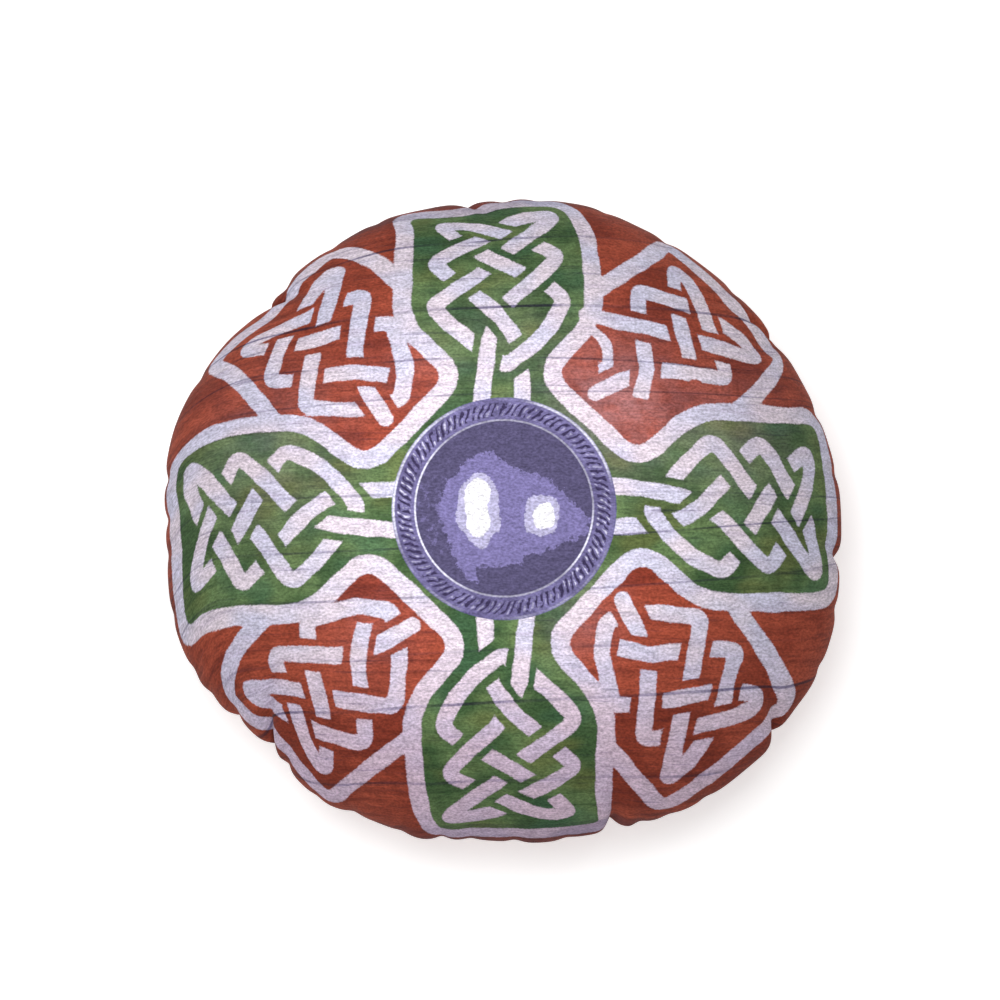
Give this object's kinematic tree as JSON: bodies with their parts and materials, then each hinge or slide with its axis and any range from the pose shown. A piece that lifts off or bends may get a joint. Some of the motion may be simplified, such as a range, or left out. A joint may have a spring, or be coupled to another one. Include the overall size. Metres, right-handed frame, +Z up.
{
  "type": "round shield play cushion",
  "caption": "Round stuffed plush cushion made as a toy shield: green plaited cross over rust-red planks, pale borders and a grey metal boss, all printed on its crowned front.",
  "frame": {"origin": "on the surface that the cushion lies on, under the middle of its outline", "axes": "+Z up out of the printed face, +Y toward the top of the printed picture, +X to its right"},
  "size_m": [0.3842, 0.3674, 0.1103],
  "materials": {
    "printed_plush": "short-pile plush with a soft sheen, printed as painted planks",
    "plank_plush": "short-pile plush with a soft sheen, printed as bare rust-brown planks"
  },
  "bodies": {
    "root": {"front_panel": "printed_plush", "back_panel": "plank_plush"}
  },
  "joints": []
}
